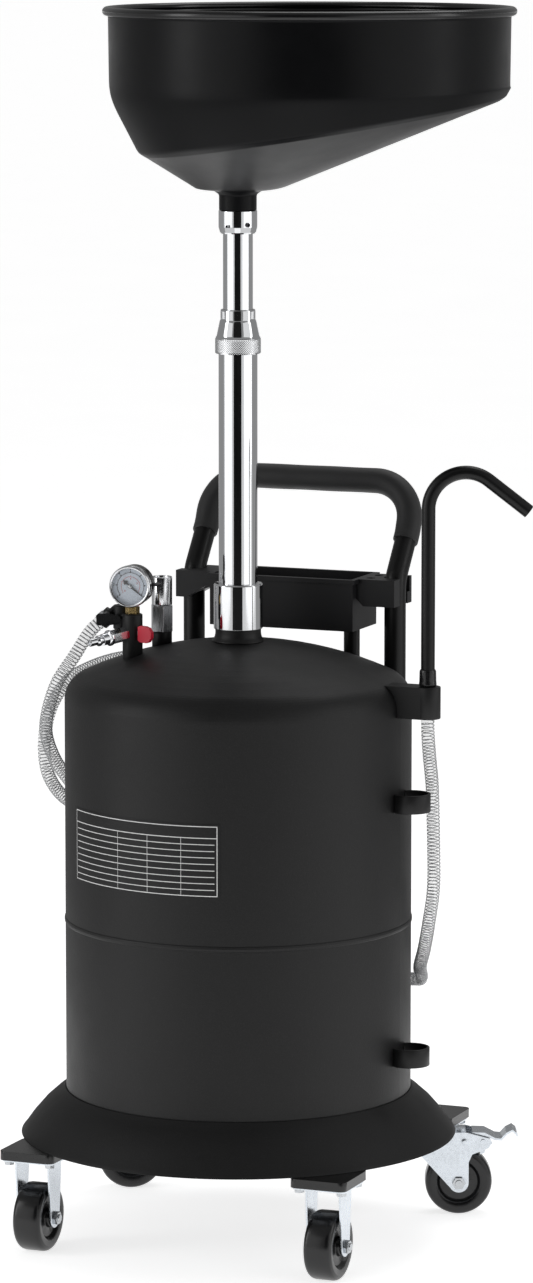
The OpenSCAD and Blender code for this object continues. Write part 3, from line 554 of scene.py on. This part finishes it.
# ------------------------------------------------------------------ gauge face
ga = math.radians(-82)
gz = Vector((math.cos(ga), math.sin(ga), 0))
gy = Vector((-math.sin(ga), math.cos(ga), 0))
gx = Vector((0, 0, -1))
go = plan(-115.2, -7.4, 722)


def dial_pt(clock, r, h):
    """Point on the dial: clock angle in degrees from the top, r and h in mm."""
    a = math.radians(clock)
    return go + (gy * math.sin(a) - gx * math.cos(a)) * r * MM + gz * h * MM


def dial_marks(name, marks, h, m):
    """marks: (clock, half width in degrees or mm, r0, r1, is_arc)"""
    v, f = [], []
    for clock, w, r0, r1, arc in marks:
        if arc:
            n = max(2, int(w / 3))
            for i in range(n):
                c0, c1 = clock + w * i / n, clock + w * (i + 1) / n
                b = len(v)
                v += [dial_pt(c0, r0, h), dial_pt(c1, r0, h), dial_pt(c1, r1, h), dial_pt(c0, r1, h)]
                f.append((b, b + 1, b + 2, b + 3))
        else:
            b = len(v)
            for r, s in ((r0, -1), (r0, 1), (r1, 1), (r1, -1)):
                v.append(dial_pt(clock + s * math.degrees(w / r), r, h))
            f.append((b, b + 1, b + 2, b + 3))
    ob = give(obj_from(name, v, f, "chassis", smooth=False), m)
    return ob


SPAN = 129
outer_marks = [(-SPAN, 2 * SPAN, 14.6, 15.05, True)]
for i in range(61):
    c = -SPAN + 2 * SPAN * i / 60
    outer_marks.append((c, 0.6 if i % 10 == 0 else 0.17, 15.0, 16.9 if i % 10 == 0 else (16.4 if i % 5 == 0 else 15.9), False))
dial_marks("dial_scale", outer_marks, 7.70, M_INK)
inner_marks = [(-SPAN, 2 * SPAN, 10.2, 10.6, True)]
for i in range(41):
    c = -SPAN + 2 * SPAN * i / 40
    inner_marks.append((c, 0.24 if i % 10 == 0 else 0.11, 10.5, 11.9 if i % 10 == 0 else 11.2, False))
dial_marks("dial_inner", inner_marks, 7.70, M_REDINK)


def basis(x, y, z, o):
    """Matrix whose columns are the axes x, y and z at the point o."""
    return Matrix([[x[i], y[i], z[i], o[i]] for i in range(3)] + [[0, 0, 0, 1]])


def numeral(text, clock, r, size, m, name):
    cu = bpy.data.curves.new(name + "_t", "FONT")
    cu.body = text
    cu.size = size * MM
    cu.align_x, cu.align_y = "CENTER", "CENTER"
    cu.resolution_u = 3
    cu.offset = 0.1 * MM
    ob = bpy.data.objects.new(name + "_t", cu)
    scene.collection.objects.link(ob)
    bpy.context.view_layer.update()
    me = bpy.data.meshes.new_from_object(ob)
    bpy.data.objects.remove(ob)
    me.name = name
    p = dial_pt(clock, r, 7.71)
    me.transform(basis(gy, -gx, gz, p))
    o2 = bpy.data.objects.new(name, me)
    scene.collection.objects.link(o2)
    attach(o2, "chassis")
    give(o2, m)


for i in range(7):
    numeral(str(i), SPAN - 2 * SPAN * i / 6, 18.75, 3.9, M_INK, "numeral_%d" % i)
for i in range(5):
    numeral(str(i * 2), SPAN - 2 * SPAN * i / 4, 8.2, 2.7, M_REDINK, "inner_numeral_%d" % i)
cap = lathe("needle_cap", [(0.01, 10.35), (1.4, 10.3), (2.1, 10.0), (2.35, 9.5), (2.35, 9.2), (0.01, 9.2)], 32, "needle",
            mat=basis(gx, gy, gz, go), closed=False)
give(cap, M_STEEL)

# ------------------------------------------------------------------ ruled plate on the tank, left blank
def strip(v, f, a0, a1, z0, z1, r=190.62):
    """Curved strip on the tank wall: plan angles in degrees, heights in mm."""
    n = max(2, int((a1 - a0) / 1.5))
    n = n if a1 - a0 > 1.5 else 2
    b = len(v)
    for i in range(n + 1):
        a = math.radians(a0 + (a1 - a0) * i / n)
        for z in (z0, z1):
            v.append((r * math.cos(a) * MM, r * math.sin(a) * MM, z * MM))
    for i in range(n):
        f.append((b + 2 * i, b + 2 * i + 2, b + 2 * i + 3, b + 2 * i + 1))


lv, lf = [], []
L0, L1, Z0, Z1 = -134.3, -74.4, 411.0, 487.0
w = math.degrees(0.9 / 190)
strip(lv, lf, L0, L1, Z1 - 0.9, Z1)
strip(lv, lf, L0, L1, Z0, Z0 + 0.9)
strip(lv, lf, L0, L0 + w, Z0, Z1)
strip(lv, lf, L1 - w, L1, Z0, Z1)
strip(lv, lf, L0, L1, Z1 - 13.4, Z1 - 12.5)
for i in range(1, 9):
    z = Z0 + (Z1 - 12.9 - Z0) * i / 9
    strip(lv, lf, L0 + 1, L1 - 1, z - 0.42, z + 0.42)
for a in (-110.5, -98.5, -86.5):
    strip(lv, lf, a - w / 4, a + w / 4, Z0, Z1 - 12.5)
rules = give(obj_from("plate_rules", lv, lf, "chassis"), M_WHITE)

# ------------------------------------------------------------------ rounded edges on the CAD nodes
for names, width, ang in (
    ("tool_tray", 0.0016, 30), ("base_cross", 0.0022, 30), ("caster_plates", 0.0006, 30),
    ("front_forks rear_fork_right rear_fork_left", 0.0006, 30), ("brake_pedal_right brake_pedal_left", 0.0005, 40),
    ("caster_bolts front_axles rear_axle_right rear_axle_left", 0.0005, 30), ("rear_king_pins", 0.0005, 30),
    ("handle_saddles tray_support wand_holder", 0.0008, 30), ("hose_rings hose_hooks", 0.0006, 30),
    ("base_skirt", 0.0005, 34), ("silencer_hex air_plug gauge_adapter air_valve_stem", 0.0005, 30),
    ("air_valve_lever hose_valve_lever", 0.0008, 30), ("hose_clamp hose_barb", 0.0005, 30),
    ("manifold_post hose_valve_body silencer_base silencer_body", 0.0005, 30),
    ("wand_collar", 0.0004, 30),
    ("gauge_case gauge_bezel", 0.0003, 30),
    ("front_wheel_right front_wheel_left rear_wheel_right rear_wheel_left", 0.0007, 24)):
    for n in names.split():
        bevel(NODES[n], width, ang)

# ------------------------------------------------------------------ floor, backdrop and lights
def flat(name, corners, m):
    me = bpy.data.meshes.new(name)
    me.from_pydata(corners, [], [tuple(range(len(corners)))])
    ob = bpy.data.objects.new(name, me)
    scene.collection.objects.link(ob)
    ob.data.materials.append(m)
    return ob


m_floor, nt, bs, co = new_mat("studio_floor")
fl = noise(nt, co, 3, 3, 0.5)
fc = ramp(nt, fl.outputs["Fac"], 0.3, 0.7, (0.90, 0.90, 0.905, 1), (0.94, 0.94, 0.94, 1))
nt.links.new(fc.outputs["Color"], bs.inputs["Base Color"])
bs.inputs["Roughness"].default_value = 0.7
bs.inputs["Specular IOR Level"].default_value = 0.2
bs.inputs["Emission Color"].default_value = (1, 1, 1, 1)
bs.inputs["Emission Strength"].default_value = 0.74
S = 60
flat("studio_floor", [(-S, -S, 0), (S, -S, 0), (S, S, 0), (-S, S, 0)], m_floor)

world = bpy.data.worlds.new("studio")
scene.world = world
world.use_nodes = True
world.node_tree.nodes["Background"].inputs["Color"].default_value = (1, 1, 1, 1)
world.node_tree.nodes["Background"].inputs["Strength"].default_value = 0.27


def area(name, az, el, dist, size_x, size_y, power, target=(0, 0, 0.65)):
    """Soft box: az in degrees from the camera's side of the object, positive to the viewer's right."""
    d = bpy.data.lights.new(name, "AREA")
    d.shape = "RECTANGLE"
    d.size, d.size_y, d.energy = size_x, size_y, power
    ob = bpy.data.objects.new(name, d)
    scene.collection.objects.link(ob)
    a = math.radians(-68 + az)
    e = math.radians(el)
    t = Vector(target)
    ob.location = t + Vector((math.cos(a) * math.cos(e), math.sin(a) * math.cos(e), math.sin(e))) * dist
    ob.rotation_mode = "QUATERNION"
    ob.rotation_quaternion = (t - ob.location).to_track_quat("-Z", "Y")
    return ob


area("box_left", -60, 10, 4.6, 4.4, 3.6, 31)
area("box_right", 60, 12, 4.6, 4.4, 3.6, 29)
area("strip_left", -74, 16, 3.6, 0.9, 2.8, 18)
area("strip_right", 80, 18, 3.6, 0.7, 2.8, 10)
area("box_top", 150, 66, 3.8, 2.6, 2.6, 38)

# dark card behind the camera: gives the chrome its dark band; it is seen in reflections only
m_card, nt, bs, co = new_mat("studio_card")
cn = noise(nt, co, 2, 2, 0.5)
cc = ramp(nt, cn.outputs["Fac"], 0.3, 0.7, (0.008, 0.008, 0.008, 1), (0.012, 0.012, 0.012, 1))
nt.links.new(cc.outputs["Color"], bs.inputs["Base Color"])
bs.inputs["Roughness"].default_value = 0.9
cv = Vector((SV, -CV, 0))
side = Vector((CV, SV, 0))
c0 = cv * 7.2
card = flat("studio_card", [tuple(c0 + side * u + Vector((0, 0, z))) for u, z in ((-3.5, 0.0), (2.7, 0.0), (2.7, 7.0), (-3.5, 7.0))], m_card)
card.visible_camera = False
card.visible_shadow = False
# the same card carried on along the floor, so the low part of the mast and the sleeve mirror it too
mat_ = flat("studio_card_floor", [tuple(cv * d + side * u + Vector((0, 0, 0.004))) for d, u in ((2.9, -1.45), (2.9, 1.1), (7.2, 2.7), (7.2, -3.5))], m_card)
mat_.visible_camera = False
mat_.visible_shadow = False


def mirror_mat(name, a0, a1, strength):
    """Dimmer stretch of floor for reflections only: plan angles from the camera's side, positive to the viewer's right."""
    m, nt, bs, co = new_mat(name)
    n = noise(nt, co, 1.2, 2, 0.5)
    c = ramp(nt, n.outputs["Fac"], 0.3, 0.7, (0.09, 0.09, 0.09, 1), (0.11, 0.11, 0.11, 1))
    nt.links.new(c.outputs["Color"], bs.inputs["Base Color"])
    bs.inputs["Roughness"].default_value = 0.9
    bs.inputs["Emission Color"].default_value = (1, 1, 1, 1)
    bs.inputs["Emission Strength"].default_value = strength
    pts = [(1.3, a0), (1.3, (a0 + a1) / 2), (1.3, a1), (30, a1), (30, (a0 + a1) / 2), (30, a0)]
    ob = flat(name, [(r * math.cos(math.radians(-68 + a)), r * math.sin(math.radians(-68 + a)), 0.003) for r, a in pts], m)
    ob.visible_camera = False
    ob.visible_shadow = False


mirror_mat("mat_front_left", -92, -22, 0.62)
mirror_mat("mat_front_right", 17, 92, 0.70)
mirror_mat("mat_rear_left", -170, -92, 0.26)
mirror_mat("mat_rear_right", 92, 170, 0.26)
